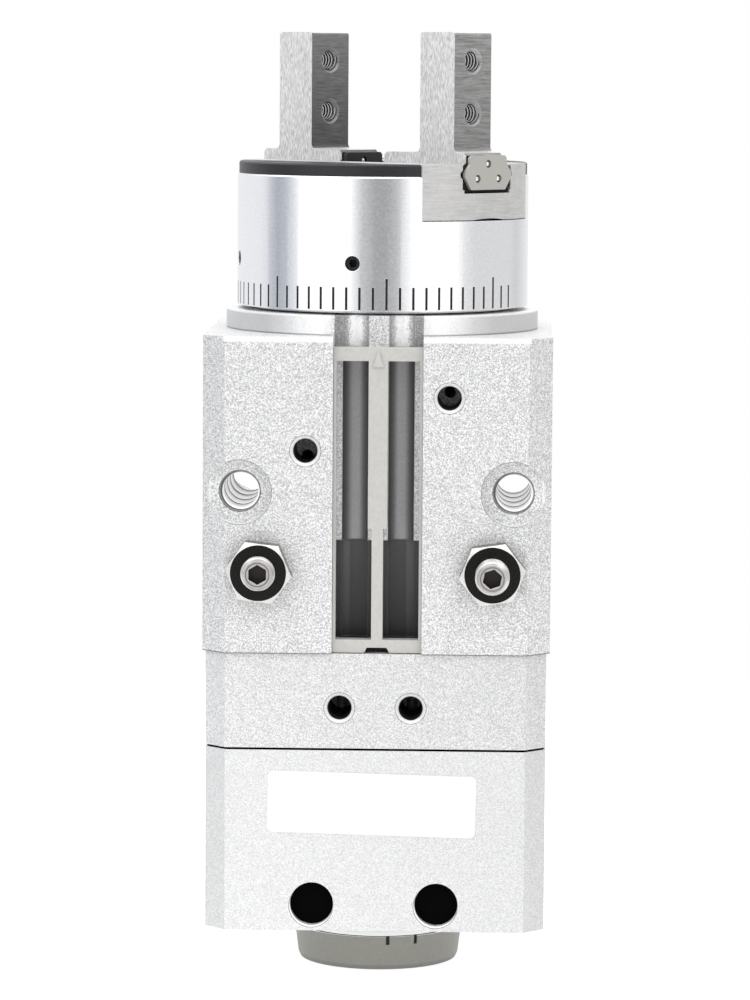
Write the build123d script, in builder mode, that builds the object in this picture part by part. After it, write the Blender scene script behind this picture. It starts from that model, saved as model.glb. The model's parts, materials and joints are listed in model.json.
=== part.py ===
from build123d import *
import os
from math import asin, cos, degrees, radians, sin

os.makedirs("parts", exist_ok=True)

# Rotary air gripper: a two-finger parallel gripper on a vane-type rotary actuator.
# Millimetres. +Z is the rotation axis and points at the fingertips. The front, with the switch
# slot and the ports, faces -Y. The origin is where the rotation axis meets the line between the
# two body mounting holes. The head stands at its mid scale mark and the fingers are open.

# ---- driving dimensions --------------------------------------------------------------------

# housing stack, from the top down
boss_top = 30.15
body_top = 26.7
body_bottom = -27.8
joint_z = -44.2
base_z = -76.1
gasket_t = 0.4
body_w = 60.0
block_w = 58.8
gasket_w = 58.2
body_chamfer = 4.0
block_chamfer = 3.55
boss_r = 27.55

# switch slot in the front face, a little right of the middle
slot_x = 0.2
slot_w = 15.4
slot_floor_y = -26.0
groove_pitch = 7.9
groove_r = 2.2
groove_end_z = -8.5
pocket_bottom_z = -25.4
pocket_in = 0.97
pocket_out = 7.38
pocket_floor_y = -24.8
channel_floor_y = -23.6

# switch rail
rail_front_y = -28.8
rail_top = 24.9
rail_gap = 0.05
rail_foot_gap = 0.15
rail_strip = 0.5
rail_bar_half = 1.65
rail_step_z = -6.2
rail_window_top = 22.6
wire_notch = (4.4, 0.9)
pointer_half_w = 0.85
pointer_low = 21.6
pointer_tip = 24.4
pointer_raised = 0.35

# mounting holes, ports and plugs
mount_pitch = 47.0
mount_r = 3.4
mount_cb_r = 5.5
mount_cb_front = 2.5
mount_cb_back = 23.5
port_r = 2.1
port_chamfer_r = 2.6
port_depth = 9.5
passage_start = 9.0
passage_l = 11.5
grip_ports = [(-12.2, 7.2, 5.6), (12.4, 16.4, 16.8)]
turn_port_x = 6.13
turn_port_z = -37.2
turn_port_depth = 14.0
turn_passage_y = -15.8
passage_r = 1.0
plug_x = 10.75
plug_z = -71.4
plug_r = 3.75
plug_hole_depth = 8.0
plug_recess = 1.4

# name label
label_x = -0.5
label_z = -53.9
label_w = 36.0
label_h = 10.8
label_corner_r = 1.0
label_tilt = -1.3
label_t = 0.12

# adjusting screws
adjuster_x = 20.0
adjuster_z = -13.5
adjuster_r = 2.95
adjuster_hole_r = 3.05
adjuster_tip_y = -4.05
adjuster_chamfer = 0.7
adjuster_socket = 3.0
adjuster_socket_depth = 3.0
nut_flats = 10.0
nut_t = 3.6
nut_face_r = 4.8
adjuster_reach = {"left": 2.5, "right": 5.5}
nut_clocking = {"left": -6.5, "right": 8.0}
socket_clocking = {"left": 0.0, "right": 49.0}

# cylinder, piston and rod
cylinder_r = 16.0
cylinder_low = 3.0
cylinder_high = 18.0
piston_r = 15.95
piston_low = 7.7
piston_t = 8.4
rod_r = 9.0
rod_bore_r = 5.05
rod_top = 44.4
cover_r = 20.0
cover_face_z = 20.9
cover_lip_r = 18.6

# seals and magnet: inside radius, outside radius, bottom, top
seals = {
    "rod_seal": (rod_r + 0.02, 11.0, 18.8, 20.0),
    "shaft_seal": (6.02, 9.0, -34.0, -31.0),
    "piston_seal": (13.9, piston_r + 0.02, piston_low + 0.9, piston_low + 2.5),
    "bore_seal": (5.02, 6.9, piston_low + 1.3, piston_low + 3.1),
    "piston_magnet": (12.9, 15.5, piston_low + 4.7, piston_low + 7.3),
}
# circlips: inside radius, outside radius, bottom, top
circlips = {
    "head_circlip": (19.3, 22.2, 28.21, 29.41),
    "base_circlip": (9.0, 11.0, -74.7, -73.82),
}

# shaft, vane and bearings
shaft_r = 6.0
spindle_r = 5.0
running_gap = 0.05
slip = 0.02
bore_gap = 0.1
chamber_r = 18.0
chamber_floor_z = -66.0
vane_hub_r = 7.0
stopper_w = 6.8
blade_w = 3.0
blade_reach = 16.4
blade_low = -64.5
blade_h = 18.3
vane_w = 5.2
spigot_r = 17.4
spigot_top = -22.5
head_bearing = {"bore": 15.0, "outer": 21.0, "low": 21.2, "high": 28.2, "ball": 1.9, "count": 16}
upper_bearing = {"bore": shaft_r, "outer": 10.5, "low": -27.5, "high": -22.5, "ball": 1.15, "count": 11}
lower_bearing = {"bore": shaft_r, "outer": 10.5, "low": -73.8, "high": -68.8, "ball": 1.15, "count": 11}
stop_low = -19.5
stop_high = -9.5
stop_reach = 22.5
stop_half_w = 4.0
stop_cavity_r = 24.0
stop_cavity_front_y = -5.0
spigot_bore_r = 17.5
stop_hub_r = 9.5
stop_short_arm = 16.0
cavity_top = -7.5
magnet_v = -12.4
magnet_r = 2.48
magnet_t = 4.0
pin_r = 1.49
pin_hole_r = 1.5
pin_l = 18.0

# tie screws, from below through both blocks into the body
tie_pitch = 46.0
tie_r = 2.5
tie_l = 50.0
tie_thread = 8.0
tie_head_r = 4.25
tie_recess_r = 4.6
tie_head_h = 5.0
tie_recess = 5.6
tie_socket = 4.0
tie_socket_depth = 2.5

# turning head
head_angle = 47.5
ring_r = 25.65
ring_inner_r = 23.15
head_r = 23.1
head_neck_r = 16.6
head_foot = 21.3
ring_low = 30.85
head_low = 30.4
plate_low = 53.9
plate_top = 56.0
plate_r = 25.4
rim_chamfer = 0.25
guide_low = 46.25
guide_half_w = 13.05
seat_gap = 0.01
channel_depth = 5.0
channel_half_w = 6.1
channel_foot_half_w = 5.75
channel_foot_h = 0.6
lip_r = 0.35
arch_r = 28.0
arch_rise = 0.45
lever_slot_l = 36.8
lever_slot_w = 5.5
lever_slot_low = 33.6
window_l = 9.3
spindle_nose = 1.0

# scale marks; the first long one stands a little past the right finger
mark_lead = 2.35
mark_step = 5.19
mark_w = 0.34
mark_depth = 0.12
mark_foot = 0.25
long_mark = 5.4
short_mark = 3.85
marks_per_long = 9
marks_past_end = 2
marks_in_scale = 36

# screws in the head
ring_screw_turns = (55.3, 122.4, 235.3, 302.4)
ring_screw_z = 39.05
ring_screw_r = 1.3
ring_screw_l = 2.2
ring_screw_sunk = 0.7
ring_screw_bite = 0.5
ring_screw_socket = 1.3
guide_screw_grid = (41.2, 6.4)
guide_screw_r = 1.25
guide_screw_l = 6.4
guide_screw_head_r = 2.35
guide_screw_head_h = 2.6
cover_screw_x = 10.0
cover_screw_y = 18.0
cover_screw_r = 1.5
cover_screw_l = 7.5
cover_screw_head_r = 2.8
cover_screw_head_h = 1.3
small_socket = 2.0
small_socket_depth = 1.2
centre_screw_r = 2.5
centre_screw_foot = 36.0
centre_hole_floor = 35.8
centre_screw_head_r = 4.25
centre_screw_head_h = 2.7
centre_screw_socket = (3.0, 1.8)
guide_screw_hole = 5.0
cover_screw_hole = 6.0
screw_sunk = 0.1

# levers and fingers, in the head's own axes: u runs through both fingers, v across them
pivot_u = 13.5
pivot_z = 40.0
lever_pin_r = 1.99
lever_pin_l = 24.0
lever_t = 5.0
lever_hub_r = 3.9
lever_root_r = 3.0
lever_neck_w = 2.4
lever_neck_l = 2.2
lever_tip_r = 1.6
lever_heel_w = 2.8
lever_heel_r = 1.9
rod_window_h = 3.9
rod_chamfer = 0.5
finger_arm = 13.2
rod_arm = 6.3
finger_stroke = 4.6
slider_in = 4.7
slider_out = 25.3
slider_top = 57.9
slider_low = 52.0
post_in = 13.3
post_out = 21.4
post_w = 9.3
tip_z = 78.65
finger_hole_r = 1.65
finger_hole_chamfer_r = 2.2
finger_holes = (5.0, 14.0)
post_foot_r = 1.0
post_tip_r = 0.6
slider_chamfer = 0.6
finger_slot_l = 3.24
finger_slot_h = 3.7
cap_t = 0.45
cap_plate_t = 0.6
cap_plate_top = 57.5
cap_plate_corner_r = 0.25
cap_dimple_r = 0.7
cap_dimples = ((0, 56.05), (-2.65, 53.5), (2.65, 53.5))
race_v = 5.75
race_z = 54.2
guide_ball_r = 0.79
guide_ball_pitch = 1.9
guide_ball_count = 8

# knob
knob_top = -80.1
knob_bottom = -86.1
knob_r = 14.95
knob_low_r = 14.3
knob_edge = (0.4, 0.8)
knob_shoulder_r = 0.7
knob_hub_r = 8.0
knob_hub_top = -76.4
shaft_shoulder_z = -76.3
knob_web_low = -83.4
knob_web_high = -82.2
knob_screw_r = 2.0
knob_screw_l = 10.0
knob_screw_head_r = 3.5
knob_screw_head_h = 2.2
knob_screw_socket = 2.5
knob_recess_r = 4.0
knob_marks = (8.2, 28.0)
knob_mark_w = 0.62
knob_mark_h = 1.5
knob_mark_depth = 0.45

# ---- derived sizes and working planes --------------------------------------------------------

body_front = -body_w / 2
pocket_x = (pocket_in + pocket_out) / 2
guide_screw_seat = plate_top - channel_depth - guide_screw_head_h
swing = degrees(asin(finger_stroke / 2 / finger_arm))
rod_pin_z = pivot_z + rod_arm * sin(radians(swing))
channel_floor = plate_top - channel_depth
finger_line = Vector(sin(radians(head_angle)), -cos(radians(head_angle)), 0)
cross_line = Vector(cos(radians(head_angle)), sin(radians(head_angle)), 0)
cross_axis = Axis((0, 0, 0), cross_line)
up = Vector(0, 0, 1)
slider_half = [(post_w / 2, slider_top), (post_w / 2, 55.6), (5.35, 55.6), (5.35, 53.0), (4.2, slider_low)]
cap_half = [(4.5, cap_plate_top), (4.5, 56.3), (6.0, 55.4), (6.0, 52.2), (5.6, 51.9), (5.6, 51.15)]
cap_plate_half = [(4.15, cap_plate_top), (4.6, 57.1), (4.6, 56.0), (5.5, 55.0), (5.85, 54.5), (5.85, 53.8),
                  (4.3, 51.6)]
ON_BASE = (Align.CENTER, Align.CENTER, Align.MIN)
UNDER = (Align.CENTER, Align.CENTER, Align.MAX)
SIDES = {"right": 1, "left": -1}

front_plane = Plane.XZ.offset(body_w / 2)
block_plane = Plane.XZ.offset(block_w / 2)
back_plane = Plane(origin=(0, body_w / 2, 0), x_dir=(1, 0, 0), z_dir=(0, 1, 0))


def head_plane(z, side=1):
    """A level plane in the head's axes: local x is u (towards the right finger), y is v."""
    return Plane(origin=(0, 0, z), x_dir=finger_line * side, z_dir=up)


def section_plane(u, side=1):
    """A plane square to the finger line at u: local x is v, local y is height."""
    return Plane(origin=finger_line * side * u, x_dir=cross_line * side, z_dir=finger_line * side)


def disc(radius, low, high, mode=Mode.ADD):
    """A cylinder on the rotation axis between two heights."""
    with Locations((0, 0, low)):
        Cylinder(radius, high - low, align=ON_BASE, mode=mode)


def both_sides(half):
    """A closed outline's points from its right-hand half, mirrored in the local y axis."""
    return half + [(-x, y) for x, y in reversed(half)]


def chamfered_square(width, cut):
    Rectangle(width, width)
    chamfer(vertices(), cut)


def cut_socket(across_flats, depth, plane, clocking=0.0):
    """Cuts a hexagon socket into the part being built."""
    with BuildSketch(plane) as socket:
        RegularPolygon(across_flats / 2, 6, major_radius=False, rotation=clocking)
    extrude(socket.sketch, amount=-depth, mode=Mode.SUBTRACT)


def circlip_groove(name):
    """Cuts the groove that a circlip sits in."""
    _, outside, low, high = circlips[name]
    disc(outside + slip, low - slip, high + slip, Mode.SUBTRACT)


def seal_groove(name):
    """Cuts the groove that a seal sits in, outwards from the bore."""
    _, outside, low, high = seals[name]
    disc(outside, low, high, Mode.SUBTRACT)


def azimuth(angle):
    """A level direction; 0 points to the front (-Y) and 90 to the right (+X)."""
    return Vector(sin(radians(angle)), -cos(radians(angle)), 0)


def ring_screw_planes(radius):
    """A plane across each ring screw's axis at the given radius, facing outwards."""
    outwards = [finger_line.rotate(Axis.Z, turn) for turn in ring_screw_turns]
    return [Plane(origin=outward * radius + up * ring_screw_z, z_dir=outward) for outward in outwards]


def make_bearing(name, size):
    """A deep-groove ball bearing as three pieces: outer ring, inner ring and balls."""
    gap = 0.01
    width = size["high"] - size["low"]
    middle_z = (size["low"] + size["high"]) / 2
    pitch_r = (size["bore"] + size["outer"]) / 2
    land = size["ball"] * 0.42
    rings = {"outer": (pitch_r + land, size["outer"] - gap), "inner": (size["bore"] + gap, pitch_r - land)}
    for ring_name, (inside, outside) in rings.items():
        with BuildPart() as ring:
            with BuildSketch(Plane.XZ):
                with Locations(((inside + outside) / 2, middle_z)):
                    Rectangle(outside - inside, width)
                with Locations((pitch_r, middle_z)):
                    Circle(size["ball"] + slip, mode=Mode.SUBTRACT)
            revolve(axis=Axis.Z)
        ring.part.label = f"{name}_{ring_name}"
        export_step(ring.part, f"parts/{name}_{ring_name}.step")
    with BuildPart() as balls:
        with Locations((0, 0, middle_z)):
            with PolarLocations(pitch_r, size["count"]):
                Sphere(size["ball"])
    balls.part.label = f"{name}_balls"
    export_step(balls.part, f"parts/{name}_balls.step")


# ---- housing ---------------------------------------------------------------------------------

with BuildPart() as main_body:
    with BuildSketch(Plane.XY.offset(body_bottom)):
        chamfered_square(body_w, body_chamfer)
    extrude(amount=body_top - body_bottom)
    disc(boss_r, body_top, boss_top)
    # the boss is cut flat in front, level with the floor of the switch slot
    with BuildSketch(Plane.XY.offset(body_top)):
        with Locations((0, (body_front + slot_floor_y) / 2)):
            Rectangle(body_w, slot_floor_y - body_front)
    extrude(amount=boss_top - body_top, mode=Mode.SUBTRACT)
    with BuildSketch(Plane.XY.offset(body_bottom)):
        with Locations((slot_x, (body_front + slot_floor_y) / 2)):
            Rectangle(slot_w, slot_floor_y - body_front)
    extrude(amount=body_top - body_bottom, mode=Mode.SUBTRACT)
    # two round sensor grooves, and a stepped pocket under each of them
    with BuildSketch(Plane.XY.offset(groove_end_z)):
        with Locations((slot_x, slot_floor_y)):
            with GridLocations(groove_pitch, 0, 2, 1):
                Circle(groove_r)
    extrude(amount=boss_top - groove_end_z, mode=Mode.SUBTRACT)
    with BuildSketch(Plane.XY.offset(pocket_bottom_z)):
        with Locations((slot_x, (slot_floor_y + pocket_floor_y) / 2)):
            with GridLocations(2 * pocket_x, 0, 2, 1):
                Rectangle(pocket_out - pocket_in, pocket_floor_y - slot_floor_y)
        with Locations((slot_x, (pocket_floor_y + channel_floor_y) / 2)):
            with GridLocations(groove_pitch, 0, 2, 1):
                Rectangle(2 * groove_r, channel_floor_y - pocket_floor_y)
    extrude(amount=groove_end_z - pocket_bottom_z, mode=Mode.SUBTRACT)
    # bores on the rotation axis: head bearing, circlip groove, rod cover, cylinder and shaft
    disc(head_bearing["outer"], head_bearing["low"], boss_top, Mode.SUBTRACT)
    circlip_groove("head_circlip")
    disc(cover_r, cylinder_high, head_bearing["low"], Mode.SUBTRACT)
    disc(cylinder_r, cylinder_low, cylinder_high, Mode.SUBTRACT)
    disc(spindle_r + running_gap, cavity_top, cylinder_low, Mode.SUBTRACT)
    # the stop lever's cavity is deeper at the back, where the long arm sweeps
    with BuildSketch(Plane.XY.offset(body_bottom)):
        Circle(stop_cavity_r)
        with Locations((0, stop_cavity_front_y)):
            Rectangle(body_w, body_w, align=(Align.CENTER, Align.MAX), mode=Mode.SUBTRACT)
        Circle(spigot_bore_r)
    extrude(amount=cavity_top - body_bottom, mode=Mode.SUBTRACT)
    with Locations((0, 0, body_bottom)):
        with GridLocations(tie_pitch, tie_pitch, 2, 2):
            Cylinder(tie_r, tie_thread, align=ON_BASE, mode=Mode.SUBTRACT)
    # mounting holes right through, counterbored at both ends
    with Locations(front_plane):
        with GridLocations(mount_pitch, 0, 2, 1):
            CounterBoreHole(mount_r, mount_cb_r, mount_cb_front)
        with Locations((-adjuster_x, adjuster_z), (adjuster_x, adjuster_z)):
            Hole(adjuster_hole_r, depth=stop_cavity_front_y - body_front)
        for port_x, port_z, passage_z in grip_ports:
            with Locations((port_x, port_z)):
                CounterSinkHole(port_r, port_chamfer_r, depth=port_depth)
            # air passage from the foot of the port into its end of the cylinder
            with Locations((port_x, passage_z, -passage_start)):
                Cylinder(passage_r, passage_l, align=UNDER, mode=Mode.SUBTRACT)
    with Locations(back_plane):
        with GridLocations(mount_pitch, 0, 2, 1):
            Hole(mount_cb_r, depth=mount_cb_back)
main_body.part.label = "main_body"
export_step(main_body.part, "parts/main_body.step")

with BuildPart() as switch_rail:
    rail_half = slot_w / 2 - rail_gap
    rail_foot = body_bottom + rail_foot_gap
    rail_t = slot_floor_y - rail_front_y
    rail_plane = Plane(origin=(slot_x, slot_floor_y, 0), x_dir=(1, 0, 0), z_dir=(0, -1, 0))
    # windows over the sensor grooves, wider where the centre bar steps in
    windows = ((rail_bar_half, rail_step_z, rail_window_top), (pocket_in, pocket_bottom_z, rail_step_z))
    with BuildSketch(rail_plane):
        with Locations((0, rail_foot)):
            Rectangle(2 * rail_half, rail_top - rail_foot, align=(Align.CENTER, Align.MIN))
        for bar_half, window_low, window_high in windows:
            window_w = rail_half - rail_strip - bar_half
            with Locations((0, (window_low + window_high) / 2)):
                with GridLocations(2 * bar_half + window_w, 0, 2, 1):
                    Rectangle(window_w, window_high - window_low, mode=Mode.SUBTRACT)
        # wire exit at the foot
        with Locations((0, rail_foot)):
            Trapezoid(*wire_notch, 60, align=(Align.CENTER, Align.MIN), mode=Mode.SUBTRACT)
    extrude(amount=rail_t)
    # raised pointer that reads the scale
    with BuildSketch(rail_plane.offset(rail_t)):
        with BuildLine():
            Polyline((-pointer_half_w, pointer_low), (pointer_half_w, pointer_low), (0, pointer_tip),
                     close=True)
        make_face()
    extrude(amount=pointer_raised)
switch_rail.part.label = "switch_rail"
export_step(switch_rail.part, "parts/switch_rail.step")

with BuildPart() as middle_block:
    with BuildSketch(Plane.XY.offset(joint_z)):
        chamfered_square(block_w, block_chamfer)
    extrude(amount=body_bottom - joint_z)
    disc(spigot_r, body_bottom, spigot_top)
    disc(upper_bearing["outer"], upper_bearing["low"], spigot_top, Mode.SUBTRACT)
    disc(shaft_r + running_gap, joint_z, upper_bearing["low"], Mode.SUBTRACT)
    seal_groove("shaft_seal")
    with Locations((0, 0, joint_z)):
        with GridLocations(tie_pitch, tie_pitch, 2, 2):
            Cylinder(tie_r + bore_gap, body_bottom - joint_z, align=ON_BASE, mode=Mode.SUBTRACT)
        with Locations((-turn_port_x, turn_passage_y), (turn_port_x, turn_passage_y)):
            Cylinder(passage_r, turn_port_z - joint_z, align=ON_BASE, mode=Mode.SUBTRACT)
    with Locations(block_plane):
        with Locations((-turn_port_x, turn_port_z), (turn_port_x, turn_port_z)):
            CounterSinkHole(port_r, port_chamfer_r, depth=turn_port_depth)
middle_block.part.label = "middle_block"
export_step(middle_block.part, "parts/middle_block.step")

with BuildPart() as chamber_gasket:
    with BuildSketch(Plane.XY.offset(joint_z - gasket_t)):
        chamfered_square(gasket_w, block_chamfer)
        Circle(chamber_r, mode=Mode.SUBTRACT)
        with GridLocations(tie_pitch, tie_pitch, 2, 2):
            Circle(tie_r + bore_gap, mode=Mode.SUBTRACT)
    extrude(amount=gasket_t)
chamber_gasket.part.label = "chamber_gasket"
export_step(chamber_gasket.part, "parts/chamber_gasket.step")

with BuildPart() as lower_block:
    with BuildSketch(Plane.XY.offset(base_z)):
        chamfered_square(block_w, block_chamfer)
    extrude(amount=joint_z - gasket_t - base_z)
    disc(chamber_r, chamber_floor_z, joint_z - gasket_t, Mode.SUBTRACT)
    disc(shaft_r + running_gap, lower_bearing["high"], chamber_floor_z, Mode.SUBTRACT)
    disc(lower_bearing["outer"], base_z, lower_bearing["high"], Mode.SUBTRACT)
    circlip_groove("base_circlip")
    with Locations((0, 0, base_z)):
        with GridLocations(tie_pitch, tie_pitch, 2, 2):
            Cylinder(tie_r + bore_gap, joint_z - base_z, align=ON_BASE, mode=Mode.SUBTRACT)
            Cylinder(tie_recess_r, tie_recess, align=ON_BASE, mode=Mode.SUBTRACT)
    with Locations(block_plane):
        with Locations((-plug_x, plug_z), (plug_x, plug_z)):
            Hole(plug_r, depth=plug_hole_depth)
lower_block.part.label = "lower_block"
export_step(lower_block.part, "parts/lower_block.step")

with BuildPart() as tie_screws:
    with Locations((0, 0, base_z + tie_recess)):
        with GridLocations(tie_pitch, tie_pitch, 2, 2):
            Cylinder(tie_r, tie_l, align=ON_BASE)
            Cylinder(tie_head_r, tie_head_h, align=UNDER)
    tie_head_z = base_z + tie_recess - tie_head_h
    with BuildSketch(Plane(origin=(0, 0, tie_head_z), x_dir=(1, 0, 0), z_dir=(0, 0, -1))):
        with GridLocations(tie_pitch, tie_pitch, 2, 2):
            RegularPolygon(tie_socket / 2, 6, major_radius=False)
    extrude(amount=-tie_socket_depth, mode=Mode.SUBTRACT)
tie_screws.part.label = "tie_screws"
export_step(tie_screws.part, "parts/tie_screws.step")

with BuildPart() as hole_plugs:
    with BuildSketch(Plane.XZ.offset(block_w / 2 - plug_hole_depth)):
        with Locations((-plug_x, plug_z), (plug_x, plug_z)):
            Circle(plug_r - slip)
    extrude(amount=plug_hole_depth - plug_recess)
hole_plugs.part.label = "hole_plugs"
export_step(hole_plugs.part, "parts/hole_plugs.step")

with BuildPart() as name_label:
    with BuildSketch(block_plane):
        with Locations((label_x, label_z)):
            RectangleRounded(label_w, label_h, label_corner_r, rotation=label_tilt)
    extrude(amount=label_t)
name_label.part.label = "name_label"
export_step(name_label.part, "parts/name_label.step")

with BuildPart() as vane_stopper:
    with BuildSketch(Plane.XY.offset(chamber_floor_z)):
        with Locations((0, -chamber_r / 2)):
            Rectangle(stopper_w, chamber_r)
        Circle(chamber_r - slip / 2, mode=Mode.INTERSECT)
        Circle(vane_hub_r + running_gap, mode=Mode.SUBTRACT)
    extrude(amount=joint_z - chamber_floor_z)
vane_stopper.part.label = "vane_stopper"
export_step(vane_stopper.part, "parts/vane_stopper.step")

with BuildPart() as rod_cover:
    disc(cover_r - slip, cylinder_high, head_bearing["low"])
    disc(cover_lip_r, cover_face_z, head_bearing["low"], Mode.SUBTRACT)
    disc(rod_r + running_gap, cylinder_high, cover_face_z, Mode.SUBTRACT)
    seal_groove("rod_seal")
rod_cover.part.label = "rod_cover"
export_step(rod_cover.part, "parts/rod_cover.step")

for seal_name, (inside, outside, low, high) in seals.items():
    with BuildPart() as seal:
        disc(outside, low, high)
        disc(inside, low, high, Mode.SUBTRACT)
    seal.part.label = seal_name
    export_step(seal.part, f"parts/{seal_name}.step")

for circlip_name, (inside, outside, low, high) in circlips.items():
    with BuildPart() as circlip:
        with BuildSketch(Plane.XY.offset(low)):
            Circle(outside)
            Circle(inside, mode=Mode.SUBTRACT)
            with Locations((0, outside)):
                Rectangle(outside / 3, outside, mode=Mode.SUBTRACT)
        extrude(amount=high - low)
    circlip.part.label = circlip_name
    export_step(circlip.part, f"parts/{circlip_name}.step")

make_bearing("head_bearing", head_bearing)
make_bearing("upper_bearing", upper_bearing)
make_bearing("lower_bearing", lower_bearing)

nuts = []
for side_name, side in SIDES.items():
    with BuildPart() as nut:
        with BuildSketch(front_plane):
            with Locations((side * adjuster_x, adjuster_z)):
                RegularPolygon(nut_flats / 2, 6, major_radius=False, rotation=nut_clocking[side_name])
        extrude(amount=nut_t)
        with Locations(front_plane):
            with Locations((side * adjuster_x, adjuster_z)):
                # the outer corners are turned down to a 30 degree cone
                Cone(nut_face_r + 3 ** 0.5 * nut_t, nut_face_r, nut_t, align=ON_BASE, mode=Mode.INTERSECT)
                Cylinder(adjuster_r, nut_t, align=ON_BASE, mode=Mode.SUBTRACT)
    nuts.append(nut.part)
with BuildPart() as lock_nuts:
    add(nuts)
lock_nuts.part.label = "lock_nuts"
export_step(lock_nuts.part, "parts/lock_nuts.step")

for side_name, side in SIDES.items():
    reach = nut_t + adjuster_reach[side_name]
    screw_end = Plane(origin=(side * adjuster_x, body_front - reach, adjuster_z),
                      x_dir=(1, 0, 0), z_dir=(0, -1, 0))
    with BuildPart() as adjust_screw:
        with BuildSketch(screw_end):
            Circle(adjuster_r)
        extrude(amount=body_front - reach - adjuster_tip_y)
        chamfer(adjust_screw.edges().filter_by(GeomType.CIRCLE), adjuster_chamfer)
        cut_socket(adjuster_socket, adjuster_socket_depth, screw_end, socket_clocking[side_name])
    adjust_screw.part.label = f"adjust_screw_{side_name}"
    export_step(adjust_screw.part, f"parts/adjust_screw_{side_name}.step")

# ---- rotor: shaft, vane, stop lever and knob ---------------------------------------------------

cross_pin_plane = Plane(origin=(0, 0, (stop_low + stop_high) / 2), z_dir=finger_line)


def vane_blade(mode):
    """The blade core, pointing along +v; its seal is moulded round it."""
    with BuildSketch(head_plane(blade_low)) as blade:
        Rectangle(blade_w, blade_reach, align=(Align.CENTER, Align.MIN))
    extrude(blade.sketch, amount=blade_h, mode=mode)


with BuildPart() as vane_shaft:
    disc(spindle_r, knob_web_high, shaft_shoulder_z)
    disc(shaft_r, shaft_shoulder_z, stop_low)
    disc(vane_hub_r, chamber_floor_z + bore_gap, joint_z - gasket_t - bore_gap)
    disc(spindle_r, stop_low, guide_low + spindle_nose)
    vane_blade(Mode.ADD)
    disc(centre_screw_r, centre_hole_floor, guide_low + spindle_nose, Mode.SUBTRACT)
    disc(knob_screw_r, knob_web_high, knob_web_low + knob_screw_l, Mode.SUBTRACT)
    # cross hole for the stop lever's pin
    with Locations(cross_pin_plane):
        Cylinder(pin_hole_r, pin_l, mode=Mode.SUBTRACT)
vane_shaft.part.label = "vane_shaft"
export_step(vane_shaft.part, "parts/vane_shaft.step")

with BuildPart() as vane_seal:
    with BuildSketch(head_plane(chamber_floor_z + running_gap)):
        Rectangle(vane_w, chamber_r, align=(Align.CENTER, Align.MIN))
        Circle(chamber_r - 2 * slip, mode=Mode.INTERSECT)
        Circle(vane_hub_r, mode=Mode.SUBTRACT)
    extrude(amount=joint_z - gasket_t - chamber_floor_z - 2 * running_gap)
    vane_blade(Mode.SUBTRACT)
vane_seal.part.label = "vane_seal"
export_step(vane_seal.part, "parts/vane_seal.step")

with BuildPart() as stop_lever:
    with BuildSketch(head_plane(stop_low)):
        Rectangle(2 * stop_half_w, stop_reach, align=(Align.CENTER, Align.MIN))
        Circle(stop_reach, mode=Mode.INTERSECT)
        Circle(stop_hub_r)
        Rectangle(2 * stop_half_w, stop_short_arm, align=(Align.CENTER, Align.MAX))
    extrude(amount=stop_high - stop_low)
    disc(spindle_r, stop_low, stop_high, Mode.SUBTRACT)
    with Locations(head_plane(stop_high)):
        with Locations((0, magnet_v)):
            Hole(magnet_r + slip, depth=magnet_t)
    with Locations(cross_pin_plane):
        Cylinder(pin_hole_r, 2 * stop_hub_r, mode=Mode.SUBTRACT)
stop_lever.part.label = "stop_lever"
export_step(stop_lever.part, "parts/stop_lever.step")

with BuildPart() as stop_lever_pin:
    with Locations(cross_pin_plane):
        Cylinder(pin_r, pin_l)
stop_lever_pin.part.label = "stop_lever_pin"
export_step(stop_lever_pin.part, "parts/stop_lever_pin.step")

with BuildPart() as turn_magnet:
    with BuildSketch(head_plane(stop_high)):
        with Locations((0, magnet_v)):
            Circle(magnet_r)
    extrude(amount=-magnet_t)
turn_magnet.part.label = "turn_magnet"
export_step(turn_magnet.part, "parts/turn_magnet.step")

with BuildPart() as knob:
    with BuildSketch(Plane.XZ):
        with BuildLine():
            Polyline((0, knob_bottom), (knob_low_r - knob_edge[0], knob_bottom),
                     (knob_low_r, knob_bottom + knob_edge[1]), (knob_r, knob_top), (knob_hub_r, knob_top),
                     (knob_hub_r, knob_hub_top), (0, knob_hub_top), close=True)
        make_face()
    revolve(axis=Axis.Z)
    fillet(knob.edges().filter_by(GeomType.CIRCLE).group_by(Axis.Z)[1], knob_shoulder_r)
    disc(spindle_r, knob_web_high, knob_hub_top, Mode.SUBTRACT)
    disc(knob_screw_r + bore_gap, knob_web_low, knob_web_high, Mode.SUBTRACT)
    disc(knob_recess_r, knob_bottom, knob_web_low, Mode.SUBTRACT)
    # two index marks cut into the rim
    for mark_angle in knob_marks:
        outward = azimuth(mark_angle)
        mark_floor = Plane(origin=outward * (knob_r - knob_mark_depth),
                           x_dir=up.cross(outward), z_dir=outward)
        with BuildSketch(mark_floor):
            with Locations((0, knob_top)):
                Rectangle(knob_mark_w, knob_mark_h, align=(Align.CENTER, Align.MAX))
        extrude(amount=2 * knob_mark_depth, mode=Mode.SUBTRACT)
knob.part.label = "knob"
export_step(knob.part, "parts/knob.step")

with BuildPart() as knob_screw:
    disc(knob_screw_r, knob_web_low, knob_web_low + knob_screw_l)
    knob_screw_face = knob_web_low - knob_screw_head_h
    disc(knob_screw_head_r, knob_screw_face, knob_web_low)
    cut_socket(knob_screw_socket, small_socket_depth,
               Plane(origin=(0, 0, knob_screw_face), x_dir=(1, 0, 0), z_dir=(0, 0, -1)))
knob_screw.part.label = "knob_screw"
export_step(knob_screw.part, "parts/knob_screw.step")

# ---- turning head -------------------------------------------------------------------------------

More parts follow.
